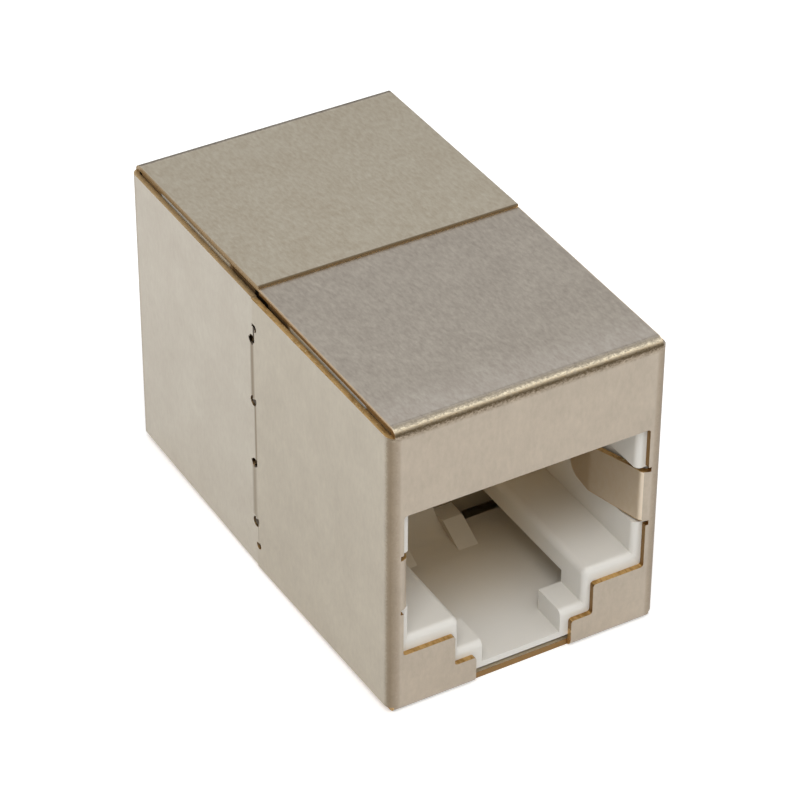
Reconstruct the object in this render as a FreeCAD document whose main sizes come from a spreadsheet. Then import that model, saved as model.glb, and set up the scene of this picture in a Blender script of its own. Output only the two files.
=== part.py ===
import FreeCAD, Part
import math
import os
import re

import Sketcher

# Shielded in-line coupler for 8-position modular plugs, all sizes in millimetres.
# Two identical jacks stand back to back on one upright circuit board, inside a shield
# of two identical folded shells that meet at half the length.
# Frame: origin at the middle of the underside, +Y along the length, +Z up.
# The front jack opens towards -Y and both latch channels lie at the bottom.
# Each jack's pieces are drawn in the jack's own frame: its end face is the plane Y = 0
# and +Y runs into the coupler. The rear jack is the same, turned half a turn about Z.

SIZES = {
    # whole coupler
    "coupler_width": 14.0,
    "coupler_height": 15.63,
    "coupler_length": 24.13,
    # folded sheet of the shells
    "sheet_thickness": 0.27,
    "bend_radius": 0.18,
    "lid_gap": 0.01,
    "side_gap": 0.11,
    "side_taper": 0.2,
    "seam_gap": 0.04,
    # how far the flanges spring outwards at the seam, each seen with its own jack in front
    "front_spring_left": 0.08,
    "front_spring_right": 0.03,
    "front_spring_top": 0.02,
    "rear_spring_left": 0.05,
    "rear_spring_right": 0.03,
    "rear_spring_top": 0.15,
    # interlocking side edges of the shells, upwards and downwards from half the height
    "seam_step": 0.26,
    "centre_tab_height": 3.54,
    "side_land_height": 3.37,
    "low_tab_height": 1.2,
    "high_tab_height": 0.8,
    "seam_relief_radius": 0.27,
    "end_relief_radius": 0.2,
    # window in each end face
    "window_border": 0.73,
    "window_sill": 3.22,
    "window_step_width": 7.22,
    "window_step_sill": 1.55,
    "latch_slot_width": 5.0,
    "fold_slot_depth": 0.3,
    "window_corner_radius": 0.15,
    "ceiling_show": 0.35,
    # earth tabs bent in from the sides of the window
    "tab_height": 2.75,
    "tab_rise": 0.12,
    "tab_relief_depth": 0.15,
    "tab_relief_height": 0.25,
    "tab_anchor": 0.04,
    "tab_lean": 14.5,
    "tab_run": 3.2,
    "tab_lip_run": 1.8,
    "tab_lip_turn": 20.0,
    "tab_lip_radius": 0.8,
    "tab_tip_radius": 0.75,
    "tab_taper": 0.4,
    # moulded housing
    "shell_clearance": 0.05,
    "housing_side_wall": 0.88,
    "housing_floor": 0.62,
    "housing_roof": 4.705,
    "housing_chamfer": 0.3,
    "channel_depth": 3.0,
    "channel_width": 6.5,
    "catch_gap": 4.1,
    "catch_height": 1.15,
    "catch_length": 1.85,
    "shoulder_thickness": 1.2,
    "undercut_wall": 0.35,
    "mouth_radius": 0.3,
    "shoulder_edge_radius": 0.36,
    "tab_clearance": 0.15,
    # contacts
    "contact_count": 8,
    "contact_pitch": 1.02,
    "contact_width": 0.4,
    "contact_thickness": 0.3,
    "contact_bend": 0.35,
    "low_row_rise": 0.95,
    "row_spacing": 1.3,
    "contact_nose": 3.0,
    "contact_heel": 2.75,
    "contact_heel_rise": 0.25,
    "contact_tip_margin": 0.9,
    "contact_drop": 2.3,
    "comb_slot_width": 0.62,
    "comb_front": 2.2,
    "comb_clearance": 0.25,
    # contact carrier
    "carrier_depth": 2.0,
    "carrier_clearance": 0.1,
    "carrier_setback": 0.6,
    "passage_clearance": 0.03,
    "tongue_width": 1.05,
    "tongue_offset": 1.12,
    "tongue_anchor": 0.1,
    "tongue_overlap": 1.9,
    "tongue_ramp": 1.5,
    "tongue_height": 0.75,
    "peg_radius": 0.6,
    "peg_length": 2.0,
    "peg_clearance": 0.05,
    "peg_inset": 1.3,
    # circuit board
    "board_thickness": 1.2,
    "board_hole_radius": 0.33,
    "pin_setback": 0.05,
}

# Sizes that follow from the others.
DERIVED = {
    "half_width": "coupler_width / 2",
    "half_length": "coupler_length / 2",
    "half_height": "coupler_height / 2",
    "shell_wrap": "sheet_thickness + shell_clearance",
    "lid_edge": "half_width - sheet_thickness - lid_gap",
    "side_edge": "sheet_thickness + side_gap",
    "fold_radius": "bend_radius + sheet_thickness",
    "window_half": "half_width - window_border",
    "floor_level": "shell_wrap + housing_floor",
    "catch_level": "floor_level + catch_height",
    "shoulder_level": "floor_level + channel_depth",
    "undercut_level": "shoulder_level - shoulder_thickness",
    "housing_top": "coupler_height - shell_wrap",
    "ceiling_level": "housing_top - housing_roof",
    "window_lintel": "ceiling_level + ceiling_show",
    "housing_half": "half_width - shell_wrap",
    "cavity_half": "housing_half - housing_side_wall",
    "undercut_half": "cavity_half - undercut_wall",
    "board_face": "half_length - board_thickness / 2",
    "housing_rear": "board_face - carrier_depth",
    "tab_middle": "(window_sill + window_lintel) / 2 + tab_rise",
    "tab_bend_start": "window_half + tab_relief_depth",
    "tab_line_radius": "bend_radius + sheet_thickness / 2",
    "tab_root": "tab_bend_start - tab_line_radius * tan((90 - tab_lean) / 2)",
    "first_contact": "-contact_pitch * (contact_count - 1) / 2",
    "low_row": "ceiling_level + low_row_rise",
    "high_row": "low_row + row_spacing",
    "comb_top": "high_row + contact_thickness / 2 + comb_clearance",
    "pin_end": "half_length + board_thickness / 2 - pin_setback",
    "carrier_half": "housing_half - carrier_clearance",
    "carrier_top": "housing_top - carrier_clearance",
    "peg_offset": "housing_half - peg_inset",
}

PARTS_FOLDER = "parts"
HALF_TURN = FreeCAD.Rotation(FreeCAD.Vector(0, 0, 1), 180)

doc = FreeCAD.newDocument("InlineCoupler")
dims = doc.addObject("Spreadsheet::Sheet", "Dims")


def fill_sheet():
    """Driving sizes as plain numbers, then the sizes that follow from them as formulas."""
    cells = {alias: str(value) for alias, value in SIZES.items()}
    cells.update({alias: "=" + formula for alias, formula in DERIVED.items()})
    for row, (alias, content) in enumerate(cells.items(), start=1):
        dims.set(f"A{row}", alias)
        dims.set(f"B{row}", content)
        dims.setAlias(f"B{row}", alias)
    doc.recompute()


def value_of(text):
    """The number that an expression in the sheet's aliases has now."""
    return float(dims.evalExpression(text))


def bind(thing, prop, text):
    """Tie a property to an expression in the sheet's aliases."""
    known = SIZES.keys() | DERIVED.keys()
    full = re.sub(r"[a-z]\w*", lambda word: f"Dims.{word[0]}" if word[0] in known else word[0], text)
    thing.setExpression(prop, full)


# ---- bodies and sketches --------------------------------------------------------------


def new_body(label):
    body = doc.addObject("PartDesign::Body", label)
    body.Label = label
    return body


def origin_feature(body, role):
    return [feature for feature in body.Origin.OriginFeatures if feature.Role == role][0]


def new_sketch(body, name, plane, distance=None):
    """A sketch on one of the body's origin planes, or at a distance in front of it.

    XY_Plane looks along Z and YZ_Plane along X. XZ_Plane's normal points to -Y, so the
    distance from it is given along +Y and turned round here.
    """
    sketch = body.newObject("Sketcher::SketchObject", name)
    sketch.AttachmentSupport = [(origin_feature(body, plane), "")]
    sketch.MapMode = "FlatFace"
    if distance:
        along_normal = f"-({distance})" if plane == "XZ_Plane" else distance
        bind(sketch, "AttachmentOffset.Base.z", along_normal)
    return sketch


def fix_coordinate(sketch, geometry, end, direction, text):
    """Dimension one end of a line, or a point, from the sketch's origin."""
    number = value_of(text)
    if abs(number) < 1e-9:
        axis = -2 if direction == "DistanceX" else -1
        sketch.addConstraint(Sketcher.Constraint("PointOnObject", geometry, end, axis))
        return
    if number > 0:
        pair = (-1, 1, geometry, end)
        bound = text
    else:
        pair = (geometry, end, -1, 1)
        bound = f"-({text})"
    index = sketch.addConstraint(Sketcher.Constraint(direction, *pair, abs(number)))
    bind(sketch, f"Constraints[{index}]", bound)


def add_outline(sketch, corners):
    """A closed outline of straight lines through corners given as (x, y) expressions."""
    spots = [FreeCAD.Vector(value_of(x), value_of(y), 0) for x, y in corners]
    count = len(corners)
    first = sketch.GeometryCount
    for i in range(count):
        sketch.addGeometry(Part.LineSegment(spots[i], spots[(i + 1) % count]), False)
    for i in range(count):
        following = first + (i + 1) % count
        sketch.addConstraint(Sketcher.Constraint("Coincident", first + i, 2, following, 1))
    for i, (x, y) in enumerate(corners):
        if i and x == corners[i - 1][0]:
            sketch.addConstraint(Sketcher.Constraint("Vertical", first + i - 1))
        else:
            fix_coordinate(sketch, first + i, 1, "DistanceX", x)
        if i and y == corners[i - 1][1]:
            sketch.addConstraint(Sketcher.Constraint("Horizontal", first + i - 1))
        else:
            fix_coordinate(sketch, first + i, 1, "DistanceY", y)


def add_rectangle(sketch, left, right, low, high):
    add_outline(sketch, [(left, low), (right, low), (right, high), (left, high)])


def add_circle(sketch, x, y, radius):
    centre = FreeCAD.Vector(value_of(x), value_of(y), 0)
    circle = Part.Circle(centre, FreeCAD.Vector(0, 0, 1), value_of(radius))
    geometry = sketch.addGeometry(circle, False)
    fix_coordinate(sketch, geometry, 3, "DistanceX", x)
    fix_coordinate(sketch, geometry, 3, "DistanceY", y)
    index = sketch.addConstraint(Sketcher.Constraint("Radius", geometry, value_of(radius)))
    bind(sketch, f"Constraints[{index}]", radius)


def add_bent_line(sketch, corners, radii):
    """An open line through corners given as (x, y) expressions, each bend a tangent arc.

    Every inner corner stays in the sketch as a point that lies on both its straight runs.
    """
    spots = [FreeCAD.Vector(value_of(x), value_of(y), 0) for x, y in corners]
    runs = len(spots) - 1
    headings = [(spots[i + 1] - spots[i]).normalize() for i in range(runs)]
    turns = [headings[i].getAngle(headings[i + 1]) for i in range(runs - 1)]
    trims = [value_of(r) * math.tan(turn / 2) for r, turn in zip(radii, turns)]
    starts = [spots[0]] + [spots[i + 1] + headings[i + 1] * trims[i] for i in range(runs - 1)]
    ends = [spots[i + 1] - headings[i] * trims[i] for i in range(runs - 1)] + [spots[-1]]
    for start, end in zip(starts, ends):
        sketch.addGeometry(Part.LineSegment(start, end), False)
    fix_coordinate(sketch, 0, 1, "DistanceX", corners[0][0])
    fix_coordinate(sketch, 0, 1, "DistanceY", corners[0][1])
    fix_coordinate(sketch, runs - 1, 2, "DistanceX", corners[-1][0])
    fix_coordinate(sketch, runs - 1, 2, "DistanceY", corners[-1][1])
    for i, radius in enumerate(radii):
        anticlockwise = headings[i].cross(headings[i + 1]).z > 0
        side = 1 if anticlockwise else -1
        inwards = FreeCAD.Vector(-headings[i].y, headings[i].x, 0) * side
        centre = ends[i] + inwards * value_of(radius)
        bounds = [ends[i], starts[i + 1]] if anticlockwise else [starts[i + 1], ends[i]]
        angles = [math.atan2(p.y - centre.y, p.x - centre.x) for p in bounds]
        circle = Part.Circle(centre, FreeCAD.Vector(0, 0, 1), value_of(radius))
        arc = sketch.addGeometry(Part.ArcOfCircle(circle, *angles), False)
        first_end, last_end = (1, 2) if anticlockwise else (2, 1)
        sketch.addConstraint(Sketcher.Constraint("Tangent", i, 2, arc, first_end))
        sketch.addConstraint(Sketcher.Constraint("Tangent", arc, last_end, i + 1, 1))
        index = sketch.addConstraint(Sketcher.Constraint("Radius", arc, value_of(radius)))
        bind(sketch, f"Constraints[{index}]", radius)
        corner = sketch.addGeometry(Part.Point(spots[i + 1]), True)
        sketch.addConstraint(Sketcher.Constraint("PointOnObject", corner, 1, i))
        sketch.addConstraint(Sketcher.Constraint("PointOnObject", corner, 1, i + 1))
        fix_coordinate(sketch, corner, 1, "DistanceX", corners[i + 1][0])
        fix_coordinate(sketch, corner, 1, "DistanceY", corners[i + 1][1])


# ---- features -------------------------------------------------------------------------


def extrude(body, kind, sketch, length=None, reverse=False, symmetric=False):
    """A pad or pocket of a sketch; with no length it goes through everything."""
    feature = body.newObject(kind, sketch.Name + "Feature")
    feature.Profile = sketch
    feature.Reversed = reverse
    if symmetric:
        feature.SideType = "Symmetric"
    if length is None:
        feature.Type = "ThroughAll"
    else:
        bind(feature, "Length", length)
    doc.recompute()
    return feature


def pad(body, sketch, length, reverse=False, symmetric=False):
    return extrude(body, "PartDesign::Pad", sketch, length, reverse, symmetric)


def pocket(body, sketch, length=None, reverse=False, symmetric=False):
    before = body.Shape.Volume
    feature = extrude(body, "PartDesign::Pocket", sketch, length, reverse, symmetric)
    if feature.Shape.Volume > before - 1e-6:
        raise ValueError(f"{feature.Name} removes nothing")
    return feature


def mirror_across_middle(body, originals):
    feature = body.newObject("PartDesign::Mirrored", originals[0].Name + "Mirrored")
    feature.Originals = originals
    feature.MirrorPlane = (origin_feature(body, "YZ_Plane"), [""])
    body.Tip = feature
    doc.recompute()
    return feature


def repeat_along_x(body, original, spacing, count):
    feature = body.newObject("PartDesign::LinearPattern", original.Name + "Repeated")
    feature.Originals = [original]
    feature.Direction = (origin_feature(body, "X_Axis"), [""])
    feature.Mode = "Spacing"
    bind(feature, "Offset", spacing)
    bind(feature, "Occurrences", count)
    body.Tip = feature
    doc.recompute()
    return feature


def pick_edges(shape, wanted):
    """Names of the edges for which wanted(edge, middle, direction) holds."""
    names = []
    for number, edge in enumerate(shape.Edges, start=1):
        if edge.Curve.TypeId != "Part::GeomLine":
            continue
        ends = [vertex.Point for vertex in edge.Vertexes]
        middle = (ends[0] + ends[1]) * 0.5
        direction = (ends[1] - ends[0]).normalize()
        if wanted(edge, middle, direction):
            names.append(f"Edge{number}")
    return names


def dress(body, kind, name, wanted, size_property, size):
    """A fillet or chamfer on the edges that the test picks."""
    base = body.Tip
    names = pick_edges(base.Shape, wanted)
    if not names:
        raise ValueError(f"{name} finds no edge")
    feature = body.newObject(kind, name)
    feature.Base = (base, names)
    bind(feature, size_property, size)
    doc.recompute()
    return feature


def fillet(body, name, wanted, radius):
    return dress(body, "PartDesign::Fillet", name, wanted, "Radius", radius)


def chamfer(body, name, wanted, size):
    return dress(body, "PartDesign::Chamfer", name, wanted, "Size", size)


def near(a, b):
    return abs(a - b) < 1e-4


def place_jack_piece(body, rear, x="0"):
    """Put a piece drawn in its jack's frame at the front or the rear of the coupler."""
    if rear:
        body.Placement = FreeCAD.Placement(FreeCAD.Vector(), HALF_TURN)
    side = "" if rear else "-"
    bind(body, "Placement.Base.y", f"{side}half_length")
    if x != "0":
        bind(body, "Placement.Base.x", f"{'-' if rear else ''}({x})")


# ---- folded shell ---------------------------------------------------------------------


def build_shield(label, rear):
    """One shell: an end face with four flanges folded back from it, each corner open."""
    end = "rear" if rear else "front"
    left = f"{end}_spring_left"
    right = f"{end}_spring_right"
    top = f"{end}_spring_top"
    body = new_body(label)
    mouth = "half_length + seam_step / 2 - seam_gap / 2"

    plan = new_sketch(body, label + "Plan", "XY_Plane")
    add_outline(
        plan,
        [
            ("-half_width", "0"),
            ("half_width", "0"),
            (f"half_width + {right}", mouth),
            (f"-(half_width + {left})", mouth),
        ],
    )
    pad(body, plan, f"coupler_height + {top}")
    slope = new_sketch(body, label + "TopSlope", "YZ_Plane")
    add_outline(
        slope,
        [
            ("0", "coupler_height"),
            (mouth, f"coupler_height + {top}"),
            (mouth, f"coupler_height + 2 * {top}"),
            ("0", f"coupler_height + 2 * {top}"),
        ],
    )
    pocket(body, slope, symmetric=True)
    hollow = new_sketch(body, label + "Hollow", "XY_Plane", "sheet_thickness")
    add_outline(
        hollow,
        [
            ("-(half_width - sheet_thickness)", "sheet_thickness"),
            ("half_width - sheet_thickness", "sheet_thickness"),
            (f"half_width + {right} - sheet_thickness", mouth),
            (f"-(half_width + {left} - sheet_thickness)", mouth),
        ],
    )
    pocket(body, hollow, "coupler_height - 2 * sheet_thickness", reverse=True)

    half_width = value_of("half_width")
    height = value_of("coupler_height")
    thickness = value_of("sheet_thickness")
    shortest_fold = height / 2

    def is_outer_fold(edge, middle, direction):
        at_rim = near(abs(middle.x), half_width) or near(middle.z, 0) or near(middle.z, height)
        return near(middle.y, 0) and at_rim and edge.Length > shortest_fold

    def is_inner_fold(edge, middle, direction):
        at_side = near(abs(middle.x), half_width - thickness)
        at_lid = near(middle.z, thickness) or near(middle.z, height - thickness)
        return near(middle.y, thickness) and (at_side or at_lid) and edge.Length > shortest_fold

    fillet(body, label + "OuterFolds", is_outer_fold, "fold_radius")
    fillet(body, label + "InnerFolds", is_inner_fold, "bend_radius")

    # The flanges are folded separately, so a slot runs along each long edge. The lower
    # slots narrow towards the seam.
    for side, distance in (("Left", "-lid_edge"), ("Right", "lid_edge")):
        slots = new_sketch(body, label + side + "Slots", "YZ_Plane", distance)
        add_rectangle(
            slots, "-sheet_thickness", "coupler_length", "coupler_height - side_edge", "2 * coupler_height"
        )
        add_outline(
            slots,
            [
                ("-sheet_thickness", "-coupler_height"),
                ("coupler_length", "-coupler_height"),
                ("coupler_length", "side_edge - side_taper"),
                (mouth, "side_edge - side_taper"),
                ("0", "side_edge"),
                ("-sheet_thickness", "side_edge"),
            ],
        )
        pocket(body, slots, reverse=side == "Right")

    under_top = new_sketch(body, label + "UnderTop", "YZ_Plane")
    add_outline(
        under_top,
        [
            ("fold_radius", "coupler_height - sheet_thickness"),
            (mouth, "coupler_height - sheet_thickness"),
            (mouth, f"coupler_height + {top} - sheet_thickness"),
        ],
    )
    pocket(body, under_top, symmetric=True)
    cut_seam(body, label)
    cut_window(body, label)
    add_earth_tabs(body, label)
    place_jack_piece(body, rear)


def cut_seam(body, label):
    """Square ends on the top and bottom flanges, and interlocking ends on the sides.

    The left flange has three notches. The right flange has lands in the same places, so
    two equal shells turned half a turn to each other lock together.
    """
    beyond = "coupler_length"
    flat_end = "half_length - seam_gap / 2"
    notch_end = "half_length - seam_step / 2 - seam_gap / 2"
    low_limit = "sheet_thickness + side_gap / 2"
    high_limit = "coupler_height - sheet_thickness - side_gap / 2"

    lids = new_sketch(body, label + "LidEnds", "YZ_Plane")
    add_rectangle(lids, flat_end, beyond, "-coupler_height", low_limit)
    add_rectangle(lids, flat_end, beyond, high_limit, "2 * coupler_height")
    pocket(body, lids, symmetric=True)

    rise_1 = "centre_tab_height / 2"
    rise_2 = f"{rise_1} + side_land_height"
    levels = [
        low_limit,
        f"half_height - ({rise_2} + low_tab_height)",
        f"half_height - ({rise_2})",
        f"half_height - {rise_1}",
        f"half_height + {rise_1}",
        f"half_height + {rise_2}",
        f"half_height + {rise_2} + high_tab_height",
        high_limit,
    ]

    left_notches = new_sketch(body, label + "LeftNotches", "YZ_Plane")
    for low, high in zip(levels[1::2], levels[2::2]):
        add_rectangle(left_notches, notch_end, beyond, f"{low} - seam_gap / 2", f"{high} + seam_gap / 2")
    pocket(body, left_notches)
    right_notches = new_sketch(body, label + "RightNotches", "YZ_Plane")
    for low, high in zip(levels[0::2], levels[1::2]):
        add_rectangle(right_notches, notch_end, beyond, f"{low} - seam_gap / 2", f"{high} + seam_gap / 2")
    pocket(body, right_notches, reverse=True)

    # Round reliefs where the punch turned the corners of the notches.
    left_reliefs = new_sketch(body, label + "LeftReliefs", "YZ_Plane")
    for level in (levels[1], levels[6]):
        add_circle(left_reliefs, notch_end, level, "end_relief_radius")
    pocket(body, left_reliefs)
    right_reliefs = new_sketch(body, label + "RightReliefs", "YZ_Plane")
    for level in levels[2:6]:
        add_circle(right_reliefs, notch_end, level, "seam_relief_radius")
    pocket(body, right_reliefs, reverse=True)


def cut_window(body, label):
    """The stepped plug window, whose lowest step runs out through the bottom fold."""
    window = new_sketch(body, label + "Window", "XZ_Plane")
    left_side = [
        ("-window_half", "window_lintel"),
        ("-window_half", "window_sill"),
        ("-window_step_width / 2", "window_sill"),
        ("-window_step_width / 2", "window_step_sill"),
        ("-latch_slot_width / 2", "window_step_sill"),
        ("-latch_slot_width / 2", "-sheet_thickness"),
    ]
    right_side = [(x[1:], y) for x, y in reversed(left_side)]
    add_outline(window, left_side + right_side)
    pocket(body, window, "sheet_thickness")
    fold_slot = new_sketch(body, label + "FoldSlot", "XZ_Plane")
    add_rectangle(
        fold_slot, "-latch_slot_width / 2", "latch_slot_width / 2", "-sheet_thickness", "window_step_sill"
    )
    pocket(body, fold_slot, "fold_slot_depth")
    levels = [value_of(level) for _, level in left_side[:-1]]

    def is_window_corner(edge, middle, direction):
        inside = abs(middle.x) < value_of("window_half") + 1e-3
        across = near(abs(direction.y), 1) and near(edge.Length, value_of("sheet_thickness"))
        return inside and across and any(near(middle.z, level) for level in levels)

    fillet(body, label + "WindowCorners", is_window_corner, "window_corner_radius")


def add_earth_tabs(body, label):
    """Two sprung tabs, each bent inwards from a side of the window and tapering from above.

    The lip at the end of each tab is turned back outwards.
    """
    relief = new_sketch(body, label + "TabReliefs", "XZ_Plane")
    low = "tab_middle - tab_height / 2 - tab_relief_height"
    high = "tab_middle + tab_height / 2 + tab_relief_height"
    add_rectangle(relief, "window_half - tab_relief_depth", "tab_bend_start", low, high)
    add_rectangle(relief, "-tab_bend_start", "-(window_half - tab_relief_depth)", low, high)
    pocket(body, relief, "sheet_thickness")

    line = new_sketch(body, label + "TabLine", "XY_Plane", "tab_middle")
    lip_x = "tab_root - tab_run * sin(tab_lean)"
    lip_y = "sheet_thickness / 2 + tab_run * cos(tab_lean)"
    tip_x = f"{lip_x} + tab_lip_run * sin(tab_lip_turn - tab_lean)"
    tip_y = f"{lip_y} + tab_lip_run * cos(tab_lip_turn - tab_lean)"
    add_bent_line(
        line,
        [
            ("tab_bend_start + tab_anchor", "sheet_thickness / 2"),
            ("tab_root", "sheet_thickness / 2"),
            (lip_x, lip_y),
            (tip_x, tip_y),
        ],
        ["tab_line_radius", "tab_lip_radius"],
    )
    section = new_sketch(body, label + "TabSection", "YZ_Plane", "tab_bend_start + tab_anchor")
    add_rectangle(
        section,
        "0",
        "sheet_thickness",
        "tab_middle - tab_height / 2",
        "tab_middle + tab_height / 2",
    )
    tab = sweep(body, label + "Tab", section, line)
    mirror_across_middle(body, [tab])
    top = "tab_middle + tab_height / 2"
    taper = new_sketch(body, label + "TabTaper", "YZ_Plane")
    add_outline(
        taper,
        [
            ("fold_radius", top),
            (tip_y, f"{top} - tab_taper"),
            (f"{tip_y} + sheet_thickness", f"{top} - tab_taper"),
            (f"{tip_y} + sheet_thickness", f"{top} + sheet_thickness"),
            ("fold_radius", f"{top} + sheet_thickness"),
        ],
    )
    pocket(body, taper, "coupler_width - 4 * sheet_thickness", symmetric=True)
    reach = value_of(tip_y) - value_of("tab_lip_run") / 4

    def is_tip_corner(edge, middle, direction):
        across_sheet = near(edge.Length, value_of("sheet_thickness")) and abs(direction.z) < 0.01
        return across_sheet and reach < middle.y < value_of("half_length") / 2

    fillet(body, label + "TabTips", is_tip_corner, "min(tab_tip_radius; tab_height / 2.2)")


def sweep(body, name, section, line):
    feature = body.newObject("PartDesign::AdditivePipe", name)
    feature.Profile = section
    feature.Spine = (line, [])
    doc.recompute()
    return feature


# ---- moulded housing ------------------------------------------------------------------


def build_housing(label, rear):
    """The moulding round the plug bay, its latch channel and the comb for the contacts."""
    body = new_body(label)
    outline = new_sketch(body, label + "Outline", "XZ_Plane", "sheet_thickness")
    add_rectangle(outline, "-housing_half", "housing_half", "shell_wrap", "housing_top")
    pad(body, outline, "housing_rear - sheet_thickness", reverse=True)

    bay = new_sketch(body, label + "Bay", "XZ_Plane", "sheet_thickness")
    left_side = [
        ("-cavity_half", "ceiling_level"),
        ("-cavity_half", "shoulder_level"),
        ("-channel_width / 2", "shoulder_level"),
        ("-channel_width / 2", "catch_level"),
        ("-catch_gap / 2", "catch_level"),
        ("-catch_gap / 2", "floor_level"),
    ]
    right_side = [(x[1:], z) for x, z in reversed(left_side)]
    add_outline(bay, left_side + right_side)
    pocket(body, bay)

    # Behind the two catches the latch channel widens under the shoulders.
    undercut = new_sketch(body, label + "Undercut", "XZ_Plane", "sheet_thickness + catch_length")
    add_rectangle(undercut, "-undercut_half", "undercut_half", "floor_level", "undercut_level")
    pocket(body, undercut)

    soften_housing(body, label)
    cut_tab_notches(body, label)
    cut_comb(body, label)

    sockets = new_sketch(body, label + "PegSockets", "XZ_Plane", "housing_rear")
    add_circle(sockets, "peg_offset", "high_row", "peg_radius + peg_clearance")
    add_circle(sockets, "-peg_offset", "high_row", "peg_radius + peg_clearance")
    pocket(body, sockets, "peg_length + peg_clearance", reverse=True)
    place_jack_piece(body, rear)


def soften_housing(body, label):
    """Rounded shoulders and mouth, and a lead-in all round the front of the moulding."""
    front = value_of("sheet_thickness")
    cavity = value_of("cavity_half")
    channel = value_of("channel_width / 2")
    shoulder = value_of("shoulder_level")
    ceiling = value_of("ceiling_level")
    catch = value_of("catch_level")
    outer = value_of("housing_half")
    bottom = value_of("shell_wrap")
    top = value_of("housing_top")

    def is_shoulder_edge(edge, middle, direction):
        lengthwise = near(abs(direction.y), 1)
        return lengthwise and near(abs(middle.x), channel) and near(middle.z, shoulder)

    def is_mouth_edge(edge, middle, direction):
        in_bay = abs(middle.x) < cavity + 1e-3 and catch - 1e-3 < middle.z < ceiling + 1e-3
        return near(middle.y, front) and in_bay

    def is_outer_edge(edge, middle, direction):
        at_rim = near(abs(middle.x), outer) or near(middle.z, bottom) or near(middle.z, top)
        return near(middle.y, front) and at_rim

    chamfer(body, label + "LeadIn", is_outer_edge, "housing_chamfer")
    fillet(body, label + "Shoulders", is_shoulder_edge, "shoulder_edge_radius")
    fillet(body, label + "Mouth", is_mouth_edge, "mouth_radius")


def cut_tab_notches(body, label):
    """A pocket in each side wall, whose slanting floor stays clear of the earth tab."""
    notch = new_sketch(body, label + "TabNotch", "XY_Plane", "tab_middle")
    reach = "tab_root + (sheet_thickness / 2 + tab_clearance) / cos(tab_lean)"
    start = f"sheet_thickness / 2 + ({reach} - housing_half) / tan(tab_lean)"
    end = f"sheet_thickness / 2 + ({reach} - cavity_half) / tan(tab_lean)"
    right = [
        ("cavity_half - housing_side_wall", "-sheet_thickness"),
        ("housing_half + housing_side_wall", "-sheet_thickness"),
        ("housing_half + housing_side_wall", start),
        ("housing_half", start),
        ("cavity_half", end),
        ("cavity_half - housing_side_wall", end),
    ]
    left = [(f"-({x})", y) for x, y in reversed(right)]
    add_outline(notch, right)
    add_outline(notch, left)
    pocket(body, notch, "tab_height + 2 * tab_clearance", symmetric=True)


def cut_comb(body, label):
    """One slot for each contact, in the roof of the plug bay."""
    slot = new_sketch(body, label + "CombSlot", "XZ_Plane", "comb_front")
    left = "first_contact - comb_slot_width / 2"
    right = "first_contact + comb_slot_width / 2"
    add_rectangle(slot, left, right, "ceiling_level - contact_thickness", "comb_top")
    first = pocket(body, slot)
    repeat_along_x(body, first, "contact_pitch", "contact_count")


# ---- contact carrier, board and contacts ----------------------------------------------


def build_carrier(label, rear):
    """The moulding that closes the back of the plug bay and holds the contacts' tails."""
    body = new_body(label)
    block = new_sketch(body, label + "Block", "XZ_Plane", "board_face")
    add_rectangle(block, "-carrier_half", "carrier_half", "floor_level", "carrier_top")
    pad(body, block, "carrier_depth")

    setback = new_sketch(body, label + "Setback", "XZ_Plane", "housing_rear")
    add_rectangle(setback, "-coupler_width", "coupler_width", "0", "undercut_level")
    pocket(body, setback, "carrier_setback")

    tongue = new_sketch(body, label + "Tongue", "YZ_Plane", "tongue_offset")
    tip = "housing_rear - tongue_overlap"
    top = "floor_level + tongue_height"
    root = "housing_rear + carrier_setback + tongue_anchor"
    add_outline(
        tongue,
        [(root, "floor_level"), (root, top), (f"{tip} + tongue_ramp", top), (tip, "floor_level")],
    )
    arm = pad(body, tongue, "tongue_width")
    mirror_across_middle(body, [arm])

    pegs = new_sketch(body, label + "Pegs", "XZ_Plane", "housing_rear")
    add_circle(pegs, "peg_offset", "high_row", "peg_radius")
    add_circle(pegs, "-peg_offset", "high_row", "peg_radius")
    pad(body, pegs, "peg_length")

    passages = new_sketch(body, label + "Passages", "XZ_Plane", "housing_rear")
    half_passage = "contact_width / 2 + passage_clearance"
    half_height = "contact_thickness / 2 + passage_clearance"
    for middle, row in (("first_contact", "low_row"), ("first_contact + contact_pitch", "high_row")):
        add_rectangle(
            passages,
            f"{middle} - ({half_passage})",
            f"{middle} + {half_passage}",
            f"{row} - ({half_height})",
            f"{row} + {half_height}",
        )
    pair = pocket(body, passages)
    repeat_along_x(body, pair, "2 * contact_pitch", "contact_count / 2")
    place_jack_piece(body, rear)


def build_board(label):
    """The upright board that both jacks stand on, with a hole for every contact tail."""
    body = new_body(label)
    outline = new_sketch(body, label + "Outline", "XZ_Plane", "-board_thickness / 2")
    add_rectangle(outline, "-carrier_half", "carrier_half", "floor_level", "carrier_top")
    pad(body, outline, "board_thickness", reverse=True)
    holes = new_sketch(body, label + "Holes", "XZ_Plane", "-board_thickness / 2")
    add_circle(holes, "first_contact", "low_row", "board_hole_radius")
    add_circle(holes, "first_contact", "high_row", "board_hole_radius")
    pair = pocket(body, holes)
    repeat_along_x(body, pair, "contact_pitch", "contact_count")


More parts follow.
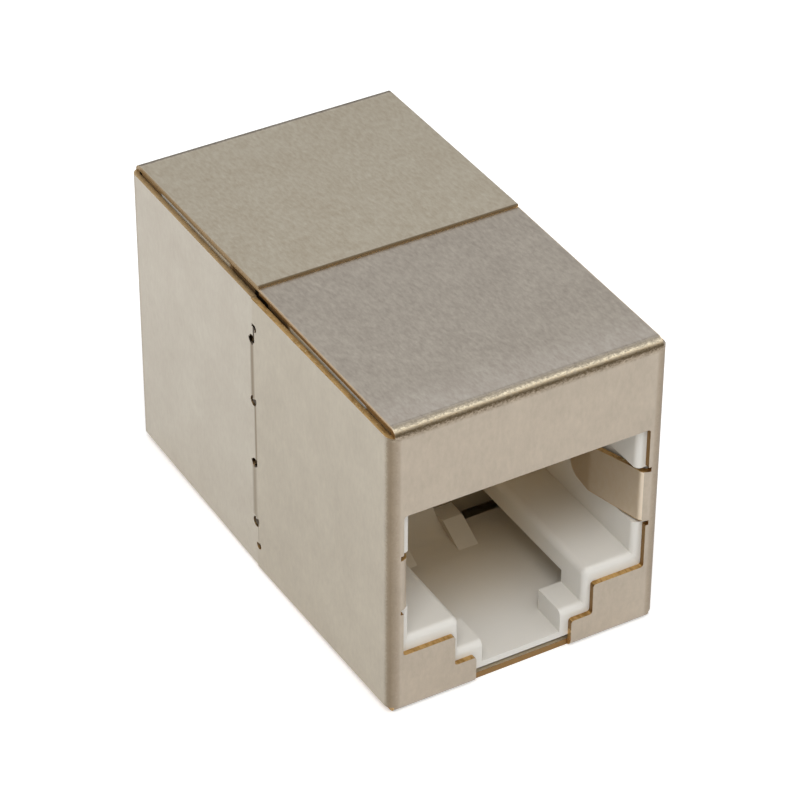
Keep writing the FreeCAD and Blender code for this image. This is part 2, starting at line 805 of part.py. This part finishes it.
def build_contact(label, rear, index):
    """A flat wire: straight tail, turned down at the mouth, then sloping into the plug bay."""
    body = new_body(label)
    row = "low_row" if index % 2 == 0 else "high_row"
    line = new_sketch(body, label + "Line", "YZ_Plane")
    add_bent_line(
        line,
        [
            ("pin_end", row),
            ("contact_nose", row),
            ("contact_heel", "ceiling_level + contact_heel_rise"),
            ("housing_rear - contact_tip_margin", "ceiling_level - contact_drop"),
        ],
        ["contact_bend", "contact_bend"],
    )
    section = new_sketch(body, label + "Section", "XZ_Plane", "pin_end")
    add_rectangle(
        section,
        "-contact_width / 2",
        "contact_width / 2",
        f"{row} - contact_thickness / 2",
        f"{row} + contact_thickness / 2",
    )
    sweep(body, label + "Wire", section, line)
    place_jack_piece(body, rear, f"first_contact + {index} * contact_pitch")


# ---- the coupler ----------------------------------------------------------------------


def check_document():
    """Stop if any object in the document failed or has no valid shape."""
    for thing in doc.Objects:
        if {"Invalid", "Error"} & set(thing.State):
            raise ValueError(f"{thing.Name} is in state {thing.State}")
        if thing.isDerivedFrom("PartDesign::Feature") or thing.isDerivedFrom("PartDesign::Body"):
            if thing.Shape.isNull() or not thing.Shape.isValid():
                raise ValueError(f"{thing.Name} has no valid shape")
    for body in doc.findObjects("PartDesign::Body"):
        if len(body.Shape.Solids) != 1:
            raise ValueError(f"{body.Label} is not one solid")


def write_parts():
    os.makedirs(PARTS_FOLDER, exist_ok=True)
    for body in doc.findObjects("PartDesign::Body"):
        body.Shape.exportStep(os.path.join(PARTS_FOLDER, body.Label + ".step"))


fill_sheet()
for jack, is_rear in (("front", False), ("rear", True)):
    build_shield(jack + "_shield", is_rear)
    build_housing(jack + "_housing", is_rear)
    build_carrier(jack + "_contact_carrier", is_rear)
    for contact in range(SIZES["contact_count"]):
        build_contact(f"{jack}_contact_{contact + 1}", is_rear, contact)
build_board("circuit_board")
doc.recompute()
check_document()
write_parts()
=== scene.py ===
import math

import bpy
from mathutils import Matrix, Vector


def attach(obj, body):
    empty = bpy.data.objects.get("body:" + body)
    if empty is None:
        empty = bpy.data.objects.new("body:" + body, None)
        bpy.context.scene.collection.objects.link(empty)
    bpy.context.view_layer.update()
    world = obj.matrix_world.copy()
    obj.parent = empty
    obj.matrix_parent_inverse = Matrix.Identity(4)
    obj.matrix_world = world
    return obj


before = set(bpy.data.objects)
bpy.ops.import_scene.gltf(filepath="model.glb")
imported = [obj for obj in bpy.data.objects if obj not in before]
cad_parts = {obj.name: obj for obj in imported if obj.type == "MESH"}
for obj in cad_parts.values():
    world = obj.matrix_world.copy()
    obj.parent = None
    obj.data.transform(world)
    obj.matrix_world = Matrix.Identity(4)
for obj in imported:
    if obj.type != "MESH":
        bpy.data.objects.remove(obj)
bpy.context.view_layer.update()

mm = 0.001
print("frame loaded:", len(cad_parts), "nodes")


class Wire:
    # one output of a node tree; the operators add Math nodes
    def __init__(self, graph, socket):
        self.graph = graph
        self.socket = socket

    def maths(self, operation, *terms):
        sockets = dict(enumerate((self, *terms)))
        return self.graph.node("ShaderNodeMath", {"operation": operation}, sockets)

    def __add__(self, other):
        return self.maths("ADD", other)

    def __sub__(self, other):
        return self.maths("SUBTRACT", other)

    def __rsub__(self, other):
        return self.graph.node("ShaderNodeMath", {"operation": "SUBTRACT"}, {0: other, 1: self})

    def __mul__(self, other):
        return self.maths("MULTIPLY", other)

    def __truediv__(self, other):
        return self.maths("DIVIDE", other)

    def __gt__(self, other):
        return self.maths("GREATER_THAN", other)

    def __lt__(self, other):
        return self.maths("LESS_THAN", other)

    def __or__(self, other):
        return self.maths("MAXIMUM", other)

    def __and__(self, other):
        return self.maths("MINIMUM", other)

    def __abs__(self):
        return self.maths("ABSOLUTE")

    __radd__ = __add__
    __rmul__ = __mul__


class Graph:
    # a node tree round one shader
    def __init__(self, owner, shader):
        owner.use_nodes = True
        self.tree = owner.node_tree
        self.shader = self.tree.nodes[shader]

    def node(self, kind, settings=None, sockets=None, out=0):
        made = self.tree.nodes.new(kind)
        for setting, value in (settings or {}).items():
            if setting == "stops":
                self.setStops(made.color_ramp, value)
            else:
                setattr(made, setting, value)
        for socket, value in (sockets or {}).items():
            if isinstance(value, Wire):
                self.tree.links.new(value.socket, made.inputs[socket])
            else:
                made.inputs[socket].default_value = value
        return Wire(self, made.outputs[out])

    # stops are (position, colour) pairs
    def setStops(self, ramp, stops):
        while len(ramp.elements) < len(stops):
            ramp.elements.new(0.5)
        for element, (position, colour) in zip(ramp.elements, stops):
            element.position = position
            element.color = colour

    def split(self, vector):
        first = self.node("ShaderNodeSeparateXYZ", None, {0: vector})
        return [Wire(self, output) for output in first.socket.node.outputs]

    # where a point is on the coupler, in millimetres
    def spot(self):
        place = self.node("ShaderNodeTexCoord", out="Object")
        settings = {"operation": "SCALE"}
        return self.node("ShaderNodeVectorMath", settings, {0: place, "Scale": 1 / mm})

    def facing(self):
        return self.split(self.node("ShaderNodeNewGeometry", out="True Normal"))

    # stretch below 1 along an axis draws the pattern out that way
    def noise(self, spot, scale, detail=2.0, roughness=0.5, stretch=None):
        if stretch:
            settings = {"operation": "MULTIPLY"}
            spot = self.node("ShaderNodeVectorMath", settings, {0: spot, 1: stretch})
        sockets = {"Vector": spot, "Scale": scale, "Detail": detail, "Roughness": roughness}
        return self.node("ShaderNodeTexNoise", None, sockets)

    # 0 at low, 1 at high, smooth between; low may be the larger
    def ramp(self, wire, low, high):
        settings = {"interpolation_type": "SMOOTHSTEP"}
        return self.node("ShaderNodeMapRange", settings, {0: wire, 1: low, 2: high})

    # 1 between low and high, fading over edge
    def band(self, wire, low, high, edge):
        return self.ramp(wire, low, low + edge) * self.ramp(wire, high, high - edge)

    def blend(self, mask, under, over, how="MIX"):
        settings = {"data_type": "RGBA", "blend_type": how}
        return self.node("ShaderNodeMix", settings, {0: mask, 6: under, 7: over}, out=2)

    def colours(self, place, stops):
        return self.node("ShaderNodeValToRGB", {"stops": stops}, {0: place})

    # height is a pattern, depth how deep it is in millimetres
    def bump(self, height, depth):
        sockets = {"Height": height, "Distance": depth * mm, "Strength": 1.0}
        return self.node("ShaderNodeBump", None, sockets)

    def rays(self, *names):
        path = self.node("ShaderNodeLightPath").socket.node
        return [Wire(self, path.outputs[name]) for name in names]

    def feed(self, **wires):
        for socket, wire in wires.items():
            self.tree.links.new(wire.socket, self.shader.inputs[socket.replace("_", " ")])

    def fix(self, **values):
        for socket, value in values.items():
            self.shader.inputs[socket.replace("_", " ")].default_value = value


def newFinish(name, **fixed):
    material = bpy.data.materials.new(name)
    finish = Graph(material, "Principled BSDF")
    finish.material = material
    finish.fix(**fixed)
    return finish


# a colour given as it looks on a screen, 0 to 255
def tone(*parts):
    shares = [part / 255 for part in parts]
    curved = [((share + 0.055) / 1.055) ** 2.4 for share in shares]
    straight = [share / 12.92 for share in shares]
    linear = [b if a <= 0.04045 else c for a, b, c in zip(shares, straight, curved)]
    return (*linear, 1.0)


def grey(level):
    return (level, level, level, 1.0)


def wear(nodes, finish):
    for name in nodes:
        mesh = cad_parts[name].data
        mesh.materials.clear()
        mesh.materials.append(finish.material)


# how far a face turns towards an axis before it counts as looking along it
squareOn = 0.7
softTurn = (0.5, 0.85)

# places are millimetres out from the middle of the coupler, or up from its underside
shell = {
    "lidEdge": 6.725,
    "lidTop": 15.5,
    "lidRim": (0.07, 0.02),  # in from the lid's edge
    "lowFlange": 1.0,
    "highFlange": 15.0,
    "sideFace": 6.9,
    "sideTop": 15.2,
    "seamZone": 11.0,
    "windowZone": 11.7,
    "endZone": 11.6,
    "tabReach": 6.6,
    "tabFront": 11.95,
    "tabLow": 5.86,
    "tabHigh": 8.55,
    "slotHalf": 2.55,
    "slotBack": 11.78,
    "slotTop": 0.4,
    "litSlotFloor": (0.2, 0.35),
    "lip": (9.0, 11.6),
    # face colours are painted shade: each face is set as bright as it looks lit, so the end
    # faces are darker
    "sideFront": tone(192, 183, 167),
    "sideRear": tone(198, 190, 176),
    "topFront": tone(191, 182, 170),
    "topLip": tone(201, 192, 181),
    "topRear": tone(207, 197, 178),
    "end": tone(186, 174, 158),
    "tab": tone(226, 211, 190),
    "lidGrain": 0.32,
    "sideGrain": 0.15,
    "mottleShare": 0.12,
    "roughness": (0.34, 0.14),  # at least, and how much the grain adds
    "grainDepth": 0.006,
}

# patterns in the metal
pattern = {
    "crumple": {"scale": 7.0, "detail": 4.0, "roughness": 0.75, "stretch": (1.0, 1.4, 1.4)},
    "lid": {"scale": 6.5, "detail": 3.0, "roughness": 0.65, "stretch": (1.0, 0.42, 1.0)},
    "side": {"scale": 5.6, "detail": 3.0, "roughness": 0.65, "stretch": (1.0, 1.0, 0.45)},
    "streak": {"scale": 5.0, "detail": 3.0, "roughness": 0.6, "stretch": (1.0, 0.35, 1.0)},
    "mottle": {"scale": 0.5, "detail": 3.0, "roughness": 0.6},
    "fleck": {"scale": 9.0, "detail": 2.0, "roughness": 0.6},
}

fold = {
    "start": 11.615,  # where the folds beside an end face begin, along Y
    "side": 6.55,  # the same along X
    "top": 15.18,  # and along Z
    "radius": 0.45,
    # where each fold's colours fade in: along Y, up Z and out X
    "topAlong": (11.5, 11.63),
    "topUp": (14.98, 15.2),
    "sideAlong": (11.5, 11.62),
    "sideOut": (6.38, 6.56),
    "sideTop": 15.25,
    # how far the crumple moves the colours, and how strongly it shades and dents the top
    "topCrumple": 0.75,
    "sideCrumple": 0.4,
    "crumpleShade": 0.9,
    "crumpleDepth": 1.5,
    # painted highlight and painted shade from the lid round to the end face
    "overTop": [
        (0.0, tone(190, 180, 166)),
        (0.12, tone(158, 148, 132)),
        (0.30, tone(166, 156, 138)),
        (0.45, tone(198, 186, 162)),
        (0.60, tone(178, 161, 134)),
        (0.76, tone(120, 103, 77)),
        (1.0, tone(164, 150, 132)),
    ],
    # painted shade from the end face round to the side
    "roundSide": [
        (0.0, tone(171, 157, 140)),
        (0.15, tone(160, 146, 128)),
        (0.5, tone(142, 127, 107)),
        (0.7, tone(146, 132, 113)),
        (0.86, tone(171, 160, 143)),
        (1.0, tone(188, 178, 162)),
    ],
}

seam = {
    # painted shade of the open reliefs and slits
    "hole": tone(66, 50, 27),
    "line": tone(148, 134, 114),
    "lip": tone(140, 124, 100),
    "lipWidth": 0.14,
    "lipFade": 0.07,
    "shellFade": 0.02,
    "jointHeights": (15.645, 15.70),
    "edge": tone(150, 129, 100),
    "edgeLow": tone(255, 238, 205),
    # punched reliefs on the left side: along Y, height, radius and the flat of each
    "reliefs": [
        (0.21, 12.99, 0.29, 0.0, 13.0),
        (0.12, 9.70, 0.33, 0.44, 9.79),
        (0.17, 6.20, 0.33, 0.40, 6.33),
        (0.12, 2.87, 0.33, 0.44, 2.96),
        (-0.15, 1.46, 0.17, -1.0, 1.52),
    ],
    "topRelief": (0.05, 13.63, 0.31),
    "discEdge": (1.2, 0.8),  # shares of a radius squared, from clear to dark
    "flatEdge": (0.02, 0.03),  # above and below a relief's flat
    "topEdge": (0.05, 0.03),  # below the top relief's middle, and along from it
    # lines between them: along Y, low, high, half the width, strength
    # one stronger than 1 is an open slit, painted as dark as the reliefs
    "lines": [
        (0.00, 12.9, 13.7, 0.09, 1.9),
        (0.15, 9.8, 12.8, 0.30, 1.0),
        (-0.04, 6.3, 9.4, 0.20, 1.0),
        (0.17, 3.0, 5.9, 0.34, 0.75),
        (-0.09, 1.6, 2.6, 0.10, 1.0),
    ],
    "lineCore": 0.25,  # share of the half width that is fully dark
    "lineEnd": 0.03,
}

brass = {
    "mid": tone(220, 184, 126),
    "dark": tone(176, 140, 88),
    "bright": tone(246, 226, 178),
    "rear": tone(222, 198, 158),
    "sill": tone(210, 174, 116),
    "sillDark": tone(172, 134, 80),
    "jamb": tone(146, 114, 70),
    "slotEdge": tone(148, 117, 76),
    # painted reflection on the bottom flange's flat inner floor
    "litSlotFloor": tone(250, 240, 222),
    "lidFront": tone(138, 110, 72),
    "lidRear": tone(160, 137, 102),
    # painted highlight on the lid's edges, also the colour of the lid's bright flecks
    "rim": tone(222, 204, 178),
    "streaks": (0.45, 0.70),
    "flecks": (0.60, 0.70),
    "sillPatches": (0.85, 1.2),
    "fleckShare": 0.8,
    "rearShare": 0.6,
    "lidFleckShare": 0.5,
    "rimHeights": (15.50, 15.60),
    "rimShare": 0.8,
    "rimCutShare": 0.85,
    "rimRearLess": 0.7,
}


# dark reliefs and soft lines where the two shells meet on a side; the dark inside the reliefs
# and open slits is painted shade
def seamMarks(finish, along, z):
    def disc(middle, height, radius):
        across, up = along - middle, z - height
        outer, inner = [radius ** 2 * share for share in seam["discEdge"]]
        return finish.ramp(across * across + up * up, outer, inner)

    middle, height, radius = seam["topRelief"]
    below, beside = seam["topEdge"]
    upper = finish.ramp(z, height - below, height)
    holes = disc(middle, height, radius) * upper * finish.ramp(along, middle + beside, middle)
    above, below = seam["flatEdge"]
    for middle, height, radius, slope, flat in seam["reliefs"]:
        under = finish.ramp(z + along * slope, flat + above, flat - below)
        holes = holes | (disc(middle, height, radius) * under)

    lines = None
    end = seam["lineEnd"]
    for middle, low, high, half, strength in seam["lines"]:
        width = finish.ramp(abs(along - middle), half, half * seam["lineCore"])
        part = width * finish.band(z, low - end, high + end, end * 2) * strength
        if strength > 1:
            holes = holes | part
        else:
            lines = part if lines is None else lines | part
    return holes & 1.0, lines


# nickel plate over brass sheet, with bare brass wherever the sheet was cut
def shellFinish():
    finish = newFinish("platedShell", Metallic=1.0)
    spot = finish.spot()
    x, y, z = finish.split(spot)
    nx, ny, nz = [abs(part) for part in finish.facing()]
    ax, ay = abs(x), abs(y)

    # the cut edges that look across, along and upwards
    inside = (z > shell["lowFlange"]) & (z < shell["highFlange"])
    onLid = z > shell["highFlange"]
    tabZone = (ax < shell["tabReach"]) & (z > shell["tabLow"]) & (z < shell["tabHigh"])
    slotEnd = (ay < shell["slotBack"]) & (ay > shell["windowZone"])
    slotEnd = slotEnd & (z < shell["slotTop"]) & (ax < shell["slotHalf"])
    cutZ = (nz > squareOn) & ((ax > shell["lidEdge"]) | inside)
    cutX = (nx > squareOn) & (ax < shell["lidEdge"]) & (1.0 - tabZone)
    cutY = (ny > squareOn) & ((ay < shell["seamZone"]) | slotEnd)
    cut = cutX | cutY | cutZ

    # the skins are painted lighter or darker from face to face as shade, each face as bright as
    # it looks under the light and the end faces darkest; on the lid they lighten towards each
    # end, and they differ a little from shell to shell
    rear = finish.ramp(y, -seam["shellFade"], seam["shellFade"])
    isTop, isEnd, isSide = [finish.ramp(part, *softTurn) for part in (nz, ny, nx)]
    side = finish.blend(rear, shell["sideFront"], shell["sideRear"])
    lidFront = finish.blend(finish.ramp(ay, *shell["lip"]), shell["topFront"], shell["topLip"])
    top = finish.blend(rear, lidFront, shell["topRear"])
    plate = finish.blend(isEnd, finish.blend(isTop, side, top), shell["end"])
    plate = finish.blend(tabZone * (ay < shell["tabFront"]), plate, shell["tab"])
    low, high = shell["litSlotFloor"]
    # painted reflection: the flange's flat inner floor at these heights is painted near white
    plate = finish.blend((z < high) * (z > low) * isTop, plate, brass["litSlotFloor"])

    # folds: painted highlight and painted shade across each bend, broken up by the crumple
    crumple = finish.noise(spot, **pattern["crumple"])
    uneven = crumple - 0.5
    along = (ay - fold["start"]) / fold["radius"]
    up = (z - fold["top"]) / fold["radius"]
    out = (ax - fold["side"]) / fold["radius"]
    overTop = (along - up) * 0.5 + 0.5 + uneven * fold["topCrumple"]
    roundSide = (out - along) * 0.5 + 0.5 + uneven * fold["sideCrumple"]
    onTopFold = finish.ramp(ay, *fold["topAlong"]) * finish.ramp(z, *fold["topUp"])
    onTopFold = onTopFold * (1.0 - isSide)
    onSideFold = finish.ramp(ax, *fold["sideOut"]) * finish.ramp(ay, *fold["sideAlong"])
    onSideFold = onSideFold * (z < fold["sideTop"]) * (1.0 - isTop)
    plate = finish.blend(onSideFold, plate, finish.colours(roundSide, fold["roundSide"]))
    plate = finish.blend(onTopFold, plate, finish.colours(overTop, fold["overTop"]))

    # rolling grain runs along the lid and up the sides and ends
    lidGrain = finish.noise(spot, **pattern["lid"])
    sideGrain = finish.noise(spot, **pattern["side"])
    grain = lidGrain * isTop + sideGrain * (1.0 - isTop)
    mottle = finish.noise(spot, **pattern["mottle"])
    moreOnLid = shell["lidGrain"] - shell["sideGrain"]
    share = finish.ramp(isTop, 0.0, 1.0) * moreOnLid + shell["sideGrain"]
    level = (grain - 0.5) * share + (mottle - 0.5) * shell["mottleShare"] + 0.5
    level = level + uneven * fold["crumpleShade"] * onTopFold
    shade = finish.node("ShaderNodeCombineColor", None, {0: level, 1: level, 2: level})
    plate = finish.blend(1.0, plate, shade, "OVERLAY")

    # where the shells meet; the right side is the left one turned half a turn
    holes, lines = seamMarks(finish, y * (1.0 - (x > 0.0) * 2.0), z)
    onSide = (ax > shell["sideFace"]) & (z < shell["sideTop"])
    plate = finish.blend(lines * onSide, plate, seam["line"])
    lip = finish.ramp(y, seam["lipWidth"], seam["lipWidth"] - seam["lipFade"])
    plate = finish.blend(isTop * (y > 0.0) * lip, plate, seam["lip"])
    # painted highlight: a bright band along the lid's side edges, weaker on the rear shell
    rimStart, rimEnd = [shell["lidEdge"] - inset for inset in shell["lidRim"]]
    rim = finish.ramp(ax, rimStart, rimEnd) * isTop * (z > shell["lidTop"])
    rimLess = rear * brass["rimRearLess"]
    plate = finish.blend(rim * (brass["rimShare"] - rimLess), plate, brass["rim"])

    # bare brass, streaked along the cut and speckled with burrs
    streak = finish.noise(spot, **pattern["streak"])
    flecks = finish.ramp(finish.noise(spot, **pattern["fleck"]), *brass["flecks"])
    raw = finish.blend(finish.ramp(streak, *brass["streaks"]), brass["mid"], brass["dark"])
    raw = finish.blend(flecks * brass["fleckShare"], raw, brass["bright"])
    raw = finish.blend(rear * brass["rearShare"], raw, brass["rear"])
    patches = finish.ramp(mottle + streak, *brass["sillPatches"])
    sill = finish.blend(patches, brass["sill"], brass["sillDark"])
    sill = finish.blend(cutX, sill, brass["jamb"])
    raw = finish.blend(inside * (ay > shell["windowZone"]), raw, sill)
    raw = finish.blend(slotEnd, raw, brass["slotEdge"])
    raw = finish.blend((x > shell["tabReach"]) * (ay > shell["endZone"]), raw, shell["end"])
    lid = finish.blend(rear, brass["lidFront"], brass["lidRear"])
    # painted highlight along the top of the lid's cut edge; the same bright colour also makes
    # the lid's flecks
    cutEdgeHighlight = finish.ramp(z, *brass["rimHeights"]) * (brass["rimCutShare"] - rimLess)
    lid = finish.blend(flecks * brass["lidFleckShare"] | cutEdgeHighlight, lid, brass["rim"])
    raw = finish.blend(cutX * onLid, raw, lid)
    joint = finish.blend(finish.ramp(z, *seam["jointHeights"]), seam["edgeLow"], seam["edge"])
    raw = finish.blend(cutY * onLid, raw, joint)
    skin = finish.blend(cut, plate, raw)
    # painted shade in the open reliefs and slits, reaching past the real openings
    skin = finish.blend(holes * onSide, skin, seam["hole"])

    smooth, rough = shell["roughness"]
    height = grain + crumple * onTopFold * fold["crumpleDepth"]
    finish.feed(
        Base_Color=skin,
        Roughness=smooth + rough * grain,
        Normal=finish.bump(height, shell["grainDepth"]),
    )
    return finish


plastic = {
    "white": tone(216, 213, 206),
    # warmer, darker painted shade deep inside the mouth
    "warmShade": tone(216, 199, 169),
    "shadow": tone(146, 128, 98),
    "slitShade": tone(150, 120, 82),
    "coveredShade": tone(64, 50, 30),
    "mouth": 12.0,
    "depths": (1.5, 9.0),  # behind the mouth, from white to warm
    "warmth": (0.7, 0.2),  # at least, and how much the haze adds
    "haze": {"scale": 0.8},
    "pits": {"scale": 12.0, "detail": 3.0, "roughness": 0.6},
    "topEdge": 15.0,
    # what shows between lid and side, outside this stretch along Y, is painted shade
    "slitOut": 6.3,
    "slitAlong": (2.7, 9.6),
    "slitFade": 0.2,
    # the walls behind the shells, painted dark as shade where they show through seams and
    # reliefs
    "wallOut": 6.5,
    "wallFade": (11.0, 11.2),
    "carrierWall": (2.0, 5.0),  # in shadow below the first height, clear above the second
    "roughness": (0.38, 0.1),
    "pitDepth": 0.002,
}


def plasticFinish(name, wall=None):
    finish = newFinish(name)
    spot = finish.spot()
    x, y, z = finish.split(spot)
    ax, ay = abs(x), abs(y)
    # painted shade: deeper inside the mouth the plastic is painted warmer and darker, varied by
    # the haze
    deep = finish.ramp(plastic["mouth"] - ay, *plastic["depths"])
    haze = finish.noise(spot, **plastic["haze"])
    pits = finish.noise(spot, **plastic["pits"])
    least, more = plastic["warmth"]
    skin = finish.blend(deep * (least + more * haze), plastic["white"], plastic["warmShade"])
    # painted shade on the plastic seen in the slit between lid and side
    ends = 1.0 - finish.band(ay, *plastic["slitAlong"], plastic["slitFade"])
    inSlit = (z > plastic["topEdge"]) * (ax > plastic["slitOut"]) * ends
    skin = finish.blend(inSlit, skin, plastic["slitShade"])
    # painted shade on the walls behind the shells
    covered = 1.0 - finish.ramp(ay, *plastic["wallFade"])
    covered = (ax > plastic["wallOut"]) * (z < plastic["topEdge"]) * covered
    skin = finish.blend(covered, skin, plastic["coveredShade"])
    if wall:
        low, high = wall
        facing = finish.ramp(abs(finish.facing()[1]), *softTurn)
        skin = finish.blend(facing * finish.ramp(z, high, low), skin, plastic["shadow"])
    smooth, rough = plastic["roughness"]
    finish.feed(
        Base_Color=skin,
        Roughness=smooth + rough * pits,
        Normal=finish.bump(pits, plastic["pitDepth"]),
    )
    return finish


board = {
    "face": tone(34, 96, 56),
    "faceDark": tone(28, 82, 48),
    # painted shade: the board's edges are painted dark where they show through the reliefs
    "edge": tone(44, 34, 20),
    "faceTurn": (0.5, 0.8),
    "weave": {"scale": 6.0},
    "weaveDepth": 0.004,
    "roughness": 0.45,
}


def boardFinish():
    finish = newFinish("boardLaminate", Roughness=board["roughness"])
    weave = finish.noise(finish.spot(), **board["weave"])
    isFace = finish.ramp(abs(finish.facing()[1]), *board["faceTurn"])
    face = finish.blend(weave, board["face"], board["faceDark"])
    finish.feed(
        Base_Color=finish.blend(isFace, board["edge"], face),
        Normal=finish.bump(weave, board["weaveDepth"]),
    )
    return finish


contact = {
    "count": 8,
    "gold": tone(226, 190, 110),
    "goldDark": tone(206, 164, 84),
    "tarnish": {"scale": 4.0},
    "roughness": (0.22, 0.15),
}


def contactFinish():
    finish = newFinish("contactMetal", Metallic=1.0)
    tarnish = finish.noise(finish.spot(), **contact["tarnish"])
    smooth, rough = contact["roughness"]
    finish.feed(
        Base_Color=finish.blend(tarnish, contact["gold"], contact["goldDark"]),
        Roughness=smooth + rough * tarnish,
    )
    return finish


jacks = ("front", "rear")
places = range(1, contact["count"] + 1)
wear([f"{jack}_shield" for jack in jacks], shellFinish())
wear([f"{jack}_housing" for jack in jacks], plasticFinish("housingPlastic"))
carrierFinish = plasticFinish("carrierPlastic", plastic["carrierWall"])
wear([f"{jack}_contact_carrier" for jack in jacks], carrierFinish)
wear(["circuit_board"], boardFinish())
wear([f"{jack}_contact_{place}" for jack in jacks for place in places], contactFinish())
print("finishes on", len(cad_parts), "nodes")

# millimetres across, along and up in the front jack
cove = {
    "left": -3.25,
    "right": 1.12,
    "foot": (-4.8, 0.942),  # along and up
    "head": (-2.01, 1.95),
    "steps": 32,
    "rise": 2.8,
    "slot": "housing_plastic",
}


# the moulded curve that runs from the channel floor up to the carrier beside the tongue
def makeCove(jack, turn, finish):
    (footY, footZ), (headY, headZ) = cove["foot"], cove["head"]
    profile = []
    for step in range(cove["steps"] + 1):
        share = step / cove["steps"]
        lift = share ** cove["rise"]
        profile.append((footY + (headY - footY) * share, footZ + (headZ - footZ) * lift))
    profile.append((headY, footZ))
    count = len(profile)
    sides = (cove["left"], cove["right"])
    points = [(x * mm, y * mm, z * mm) for x in sides for y, z in profile]
    faces = [tuple(range(count)), tuple(range(2 * count - 1, count - 1, -1))]
    for here in range(count):
        after = (here + 1) % count
        faces.append((here, here + count, after + count, after))
    mesh = bpy.data.meshes.new(f"{jack}_cove")
    mesh.from_pydata(points, [], faces)
    mesh.transform(Matrix.Rotation(turn, 4, "Z"))
    mesh.materials.append(finish.material)
    piece = bpy.data.objects.new(f"{jack}_cove", mesh)
    bpy.context.scene.collection.objects.link(piece)
    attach(piece, "root")


coveFinish = plasticFinish("covePlastic")
for jack, turn in zip(jacks, (0.0, math.pi)):
    makeCove(jack, turn, coveFinish)
print("coves made")

floor = {"size": 1.2, "white": grey(0.86), "lift": 0.35, "gloss": 0.3}


# white table; the lift keeps it white in the view and in the metal's reflections
def makeFloor():
    half = floor["size"] / 2
    corners = [(-half, -half, 0), (half, -half, 0), (half, half, 0), (-half, half, 0)]
    mesh = bpy.data.meshes.new("floor")
    mesh.from_pydata(corners, [], [(0, 1, 2, 3)])
    table = bpy.data.objects.new("floor", mesh)
    bpy.context.scene.collection.objects.link(table)
    finish = newFinish("floor", Roughness=1.0)
    finish.fix(Base_Color=floor["white"], Emission_Strength=floor["lift"])
    rays = finish.rays("Is Camera Ray", "Is Transmission Ray", "Is Glossy Ray")
    seen, through, gloss = rays
    finish.feed(Emission_Color=seen | through | gloss * floor["gloss"])
    mesh.materials.append(finish.material)


makeFloor()
print("floor made")

sky = {
    "diffuse": 0.68,
    # what the metal sees, from the horizon up to straight overhead
    "glossy": [
        (0.0, grey(0.16)),
        (0.3, grey(0.2)),
        (0.5, grey(0.5)),
        (0.72, grey(0.85)),
        (0.9, grey(1.05)),
    ],
}


def makeSky():
    world = bpy.data.worlds.new("studio")
    bpy.context.scene.world = world
    graph = Graph(world, "Background")
    up = graph.split(graph.node("ShaderNodeTexCoord", out="Generated"))[2]
    seen, gloss = graph.rays("Is Camera Ray", "Is Glossy Ray")
    light = graph.blend(gloss, grey(sky["diffuse"]), graph.colours(up, sky["glossy"]))
    graph.feed(Color=graph.blend(seen, light, grey(1.0)))


makeSky()

lampAim = (0, 0, 8)
lamps = {
    "key": {"place": (-150, -230, 450), "size": 220, "watts": 1.05},
    "fill": {"place": (280, -160, 380), "size": 300, "watts": 0.3},
}


def makeLamp(name, place, size, watts):
    data = bpy.data.lights.new(name, "AREA")
    data.size = size * mm
    data.energy = watts
    lamp = bpy.data.objects.new(name, data)
    lamp.location = Vector(place) * mm
    aim = Vector(lampAim) * mm - lamp.location
    lamp.rotation_euler = aim.to_track_quat("-Z", "Y").to_euler()
    bpy.context.scene.collection.objects.link(lamp)


for name, lamp in lamps.items():
    makeLamp(name, **lamp)

camera = {
    "place": (-66.464, -114.74, 104.462),
    "azimuth": 30.278,
    "elevation": 36.269,
    "roll": 0.32,
    "lens": 160.064,
    "sensor": 36.0,
    "nearest": 0.01,  # in metres
    "furthest": 10.0,
}


def makeCamera():
    data = bpy.data.cameras.new("camera")
    data.lens = camera["lens"]
    data.sensor_width = camera["sensor"]
    data.clip_start = camera["nearest"]
    data.clip_end = camera["furthest"]
    turn = Matrix.Rotation(math.radians(-camera["azimuth"]), 4, "Z")
    tilt = Matrix.Rotation(math.radians(90 - camera["elevation"]), 4, "X")
    roll = Matrix.Rotation(math.radians(camera["roll"]), 4, "Z")
    eye = bpy.data.objects.new("camera", data)
    eye.matrix_world = Matrix.Translation(Vector(camera["place"]) * mm) @ turn @ tilt @ roll
    bpy.context.scene.collection.objects.link(eye)
    bpy.context.scene.camera = eye


makeCamera()
bpy.context.scene.view_settings.view_transform = "Standard"
print("camera and light made")
